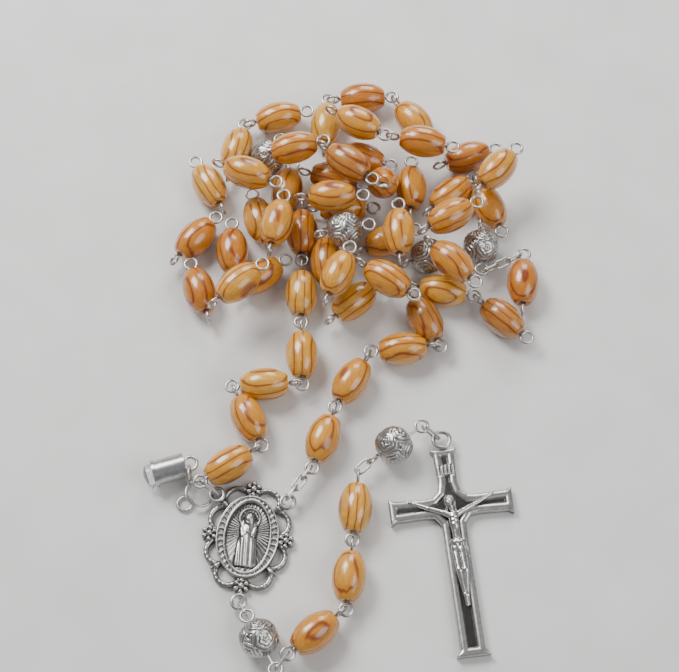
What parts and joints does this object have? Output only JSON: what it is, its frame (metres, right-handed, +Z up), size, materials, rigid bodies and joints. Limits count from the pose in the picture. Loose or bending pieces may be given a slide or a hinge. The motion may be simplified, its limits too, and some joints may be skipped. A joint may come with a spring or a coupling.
{
  "type": "rosary",
  "caption": "Five-decade olive-wood rosary laid down loosely, with silver-tone rose beads, centre medal, crucifix and capsule charm.",
  "frame": {"origin": "centre of the bounding box, on the plane the rosary lies on", "axes": "+Z up from the table, +Y from the crucifix end towards the heap of beads, +X to the right"},
  "size_m": [0.0962, 0.1564, 0.0184],
  "materials": {
    "olive_wood": "polished",
    "antique_silver": "antique, polished highs",
    "corpus": "polished",
    "capsule_glass": "clear",
    "capsule_filling": "dark"
  },
  "bodies": {
    "heap": {"heap_beads_decade_1": "olive_wood", "heap_beads_decade_2": "olive_wood", "heap_beads_decade_3": "olive_wood", "heap_beads_decade_4": "olive_wood", "heap_beads_decade_5": "olive_wood", "heap_eye_pins": "antique_silver", "heap_rose_1": "antique_silver", "heap_rose_2": "antique_silver", "heap_rose_3": "antique_silver", "heap_rose_4": "antique_silver", "heap_rose_pins": "antique_silver", "heap_chain_links": "antique_silver"},
    "left_bead_1": {"left_bead_1": "olive_wood"},
    "left_bead_2": {"left_bead_2": "olive_wood"},
    "left_bead_3": {"left_bead_3": "olive_wood"},
    "left_bead_4": {"left_bead_4": "olive_wood"},
    "left_bead_5": {"left_bead_5": "olive_wood"},
    "left_unit_1": {"left_pin_1": "antique_silver"},
    "left_unit_2": {"left_pin_2": "antique_silver"},
    "left_unit_3": {"left_pin_3": "antique_silver"},
    "left_unit_4": {"left_pin_4": "antique_silver"},
    "left_unit_5": {"left_pin_5": "antique_silver"},
    "right_bead_1": {"right_bead_1": "olive_wood"},
    "right_bead_2": {"right_bead_2": "olive_wood"},
    "right_bead_3": {"right_bead_3": "olive_wood"},
    "right_bead_4": {"right_bead_4": "olive_wood"},
    "right_unit_1": {"right_pin_1": "antique_silver"},
    "right_unit_2": {"right_pin_2": "antique_silver"},
    "right_unit_3": {"right_pin_3": "antique_silver"},
    "right_unit_4": {"right_pin_4": "antique_silver"},
    "right_chain": {"right_chain_links": "antique_silver"},
    "centre_medal": {"centre_medal": "antique_silver", "medal_joining_link": "antique_silver", "charm_jump_ring": "antique_silver", "charm_spare_ring": "antique_silver", "medal_rose_link": "antique_silver"},
    "capsule": {"capsule_case": "antique_silver", "capsule_glass": "capsule_glass", "capsule_filling": "capsule_filling", "capsule_ring": "antique_silver"},
    "pendant_rose_1": {"pendant_rose_1": "antique_silver"},
    "pendant_rose_unit_1": {"pendant_rose_pin_1": "antique_silver"},
    "pendant_link_1": {"pendant_link_1": "antique_silver"},
    "pendant_bead_1": {"pendant_bead_1": "olive_wood"},
    "pendant_bead_2": {"pendant_bead_2": "olive_wood"},
    "pendant_bead_3": {"pendant_bead_3": "olive_wood"},
    "pendant_unit_1": {"pendant_pin_1": "antique_silver"},
    "pendant_unit_2": {"pendant_pin_2": "antique_silver"},
    "pendant_unit_3": {"pendant_pin_3": "antique_silver"},
    "pendant_link_2": {"pendant_link_2": "antique_silver"},
    "pendant_rose_2": {"pendant_rose_2": "antique_silver"},
    "pendant_rose_unit_2": {"pendant_rose_pin_2": "antique_silver"},
    "pendant_link_3": {"pendant_link_3": "antique_silver"},
    "crucifix": {"cross": "antique_silver", "corpus": "corpus"}
  },
  "joints": [
    {"name": "left_unit_1_swing", "type": "hinge", "parent": "heap", "child": "left_unit_1", "pos_m": [-0.01105, 0.02666, 0.004], "axis": [0, 0, 1], "range_deg": [-2, 0]},
    {"name": "left_unit_2_swing", "type": "hinge", "parent": "left_unit_1", "child": "left_unit_2", "pos_m": [-0.01105, 0.01016, 0.004], "axis": [0, 0, 1], "range_deg": [-3, 0]},
    {"name": "left_unit_3_swing", "type": "hinge", "parent": "left_unit_2", "child": "left_unit_3", "pos_m": [-0.01055, -0.00634, 0.004], "axis": [0, 0, 1], "range_deg": [-4, 0]},
    {"name": "left_unit_4_swing", "type": "hinge", "parent": "left_unit_3", "child": "left_unit_4", "pos_m": [-0.02745, -0.00734, 0.004], "axis": [0, 0, 1], "range_deg": [-6, 0]},
    {"name": "left_unit_5_swing", "type": "hinge", "parent": "left_unit_4", "child": "left_unit_5", "pos_m": [-0.02005, -0.02254, 0.004], "axis": [0, 0, 1], "range_deg": [-8, 1]},
    {"name": "centre_medal_swing", "type": "hinge", "parent": "left_unit_5", "child": "centre_medal", "pos_m": [-0.03385, -0.03124, 0.004], "axis": [0, 0, 1], "range_deg": [-10, 1]},
    {"name": "capsule_swing", "type": "hinge", "parent": "centre_medal", "child": "capsule", "pos_m": [-0.03475, -0.03374, 0.0016], "axis": [0.2998, 0.0748, 0.9511], "range_deg": [0, 50]},
    {"name": "pendant_rose_unit_1_swing", "type": "hinge", "parent": "centre_medal", "child": "pendant_rose_unit_1", "pos_m": [-0.0246, -0.06005, 0.002], "axis": [0, 0, 1], "range_deg": [-12, 0]},
    {"name": "pendant_link_1_swing", "type": "hinge", "parent": "pendant_rose_unit_1", "child": "pendant_link_1", "pos_m": [-0.01585, -0.07634, 0.0061], "axis": [0, 0, 1], "range_deg": [-12, 0]},
    {"name": "pendant_unit_3_swing", "type": "hinge", "parent": "pendant_link_1", "child": "pendant_unit_3", "pos_m": [-0.01295, -0.07234, 0.0048], "axis": [0, 0, 1], "range_deg": [-12, 0]},
    {"name": "pendant_unit_2_swing", "type": "hinge", "parent": "pendant_unit_3", "child": "pendant_unit_2", "pos_m": [-0.00005, -0.06184, 0.004], "axis": [0, 0, 1], "range_deg": [-10, 1]},
    {"name": "pendant_unit_1_swing", "type": "hinge", "parent": "pendant_unit_2", "child": "pendant_unit_1", "pos_m": [0.00145, -0.04534, 0.004], "axis": [0, 0, 1], "range_deg": [-10, 2]},
    {"name": "pendant_link_2_swing", "type": "hinge", "parent": "pendant_unit_1", "child": "pendant_link_2", "pos_m": [0.00295, -0.02884, 0.004], "axis": [0, 0, 1], "range_deg": [-2, 5]},
    {"name": "pendant_rose_unit_2_swing", "type": "hinge", "parent": "pendant_link_2", "child": "pendant_rose_unit_2", "pos_m": [0.00505, -0.02714, 0.0046], "axis": [0, 0, 1], "range_deg": [-2, 6]},
    {"name": "pendant_link_3_swing", "type": "hinge", "parent": "pendant_rose_unit_2", "child": "pendant_link_3", "pos_m": [0.01805, -0.01794, 0.0047], "axis": [0, 0, 1], "range_deg": [0, 12]},
    {"name": "crucifix_swing", "type": "hinge", "parent": "pendant_link_3", "child": "crucifix", "pos_m": [0.02281, -0.02055, 0.0024], "axis": [0, 0, 1], "range_deg": [0, 16]},
    {"name": "right_unit_1_swing", "type": "hinge", "parent": "heap", "child": "right_unit_1", "pos_m": [0.01505, 0.01826, 0.005], "axis": [0, 0, 1], "range_deg": [-3, 0]},
    {"name": "right_unit_2_swing", "type": "hinge", "parent": "right_unit_1", "child": "right_unit_2", "pos_m": [0.02305, 0.00336, 0.004], "axis": [0, 0, 1], "range_deg": [0, 4]},
    {"name": "right_unit_3_swing", "type": "hinge", "parent": "right_unit_2", "child": "right_unit_3", "pos_m": [0.00605, 0.00186, 0.004], "axis": [0, 0, 1], "range_deg": [-4, 1]},
    {"name": "right_unit_4_swing", "type": "hinge", "parent": "right_unit_3", "child": "right_unit_4", "pos_m": [-0.00235, -0.01214, 0.004], "axis": [0, 0, 1], "range_deg": [-2, 4]},
    {"name": "right_chain_swing", "type": "hinge", "parent": "right_unit_4", "child": "right_chain", "pos_m": [-0.00785, -0.02754, 0.004], "axis": [0, 0, 1], "range_deg": [-8, 30]},
    {"name": "left_bead_1_spin", "type": "hinge", "parent": "left_unit_1", "child": "left_bead_1", "pos_m": [-0.01105, 0.01841, 0.004], "axis": [0, -1, 0], "continuous": true},
    {"name": "left_bead_2_spin", "type": "hinge", "parent": "left_unit_2", "child": "left_bead_2", "pos_m": [-0.0108, 0.00191, 0.004], "axis": [0.0303, -0.9995, 0], "continuous": true},
    {"name": "left_bead_3_spin", "type": "hinge", "parent": "left_unit_3", "child": "left_bead_3", "pos_m": [-0.019, -0.00684, 0.004], "axis": [-0.9983, -0.0591, 0], "continuous": true},
    {"name": "left_bead_4_spin", "type": "hinge", "parent": "left_unit_4", "child": "left_bead_4", "pos_m": [-0.02375, -0.01494, 0.004], "axis": [0.4377, -0.8991, 0], "continuous": true},
    {"name": "left_bead_5_spin", "type": "hinge", "parent": "left_unit_5", "child": "left_bead_5", "pos_m": [-0.02695, -0.02689, 0.004], "axis": [-0.8459, -0.5333, 0], "continuous": true},
    {"name": "right_bead_1_spin", "type": "hinge", "parent": "right_unit_1", "child": "right_bead_1", "pos_m": [0.01905, 0.01081, 0.0045], "axis": [0.4722, -0.8795, -0.059], "continuous": true},
    {"name": "right_bead_2_spin", "type": "hinge", "parent": "right_unit_2", "child": "right_bead_2", "pos_m": [0.01455, 0.00261, 0.004], "axis": [-0.9961, -0.0879, 0], "continuous": true},
    {"name": "right_bead_3_spin", "type": "hinge", "parent": "right_unit_3", "child": "right_bead_3", "pos_m": [0.00185, -0.00514, 0.004], "axis": [-0.5145, -0.8575, 0], "continuous": true},
    {"name": "right_bead_4_spin", "type": "hinge", "parent": "right_unit_4", "child": "right_bead_4", "pos_m": [-0.0051, -0.01984, 0.004], "axis": [-0.3363, -0.9417, 0], "continuous": true},
    {"name": "pendant_bead_1_spin", "type": "hinge", "parent": "pendant_unit_1", "child": "pendant_bead_1", "pos_m": [0.0022, -0.03709, 0.004], "axis": [-0.0905, -0.9959, 0], "continuous": true},
    {"name": "pendant_bead_2_spin", "type": "hinge", "parent": "pendant_unit_2", "child": "pendant_bead_2", "pos_m": [0.0007, -0.05359, 0.004], "axis": [-0.0905, -0.9959, 0], "continuous": true},
    {"name": "pendant_bead_3_spin", "type": "hinge", "parent": "pendant_unit_3", "child": "pendant_bead_3", "pos_m": [-0.0065, -0.06709, 0.0044], "axis": [-0.7747, -0.6305, 0.048], "continuous": true},
    {"name": "pendant_rose_1_spin", "type": "hinge", "parent": "pendant_rose_unit_1", "child": "pendant_rose_1", "pos_m": [-0.0196, -0.06934, 0.0047], "axis": [0.465, -0.8681, 0.1736], "continuous": true},
    {"name": "pendant_rose_2_spin", "type": "hinge", "parent": "pendant_rose_unit_2", "child": "pendant_rose_2", "pos_m": [0.01155, -0.02254, 0.00465], "axis": [0.8163, 0.5777, 0.0063], "continuous": true}
  ]
}
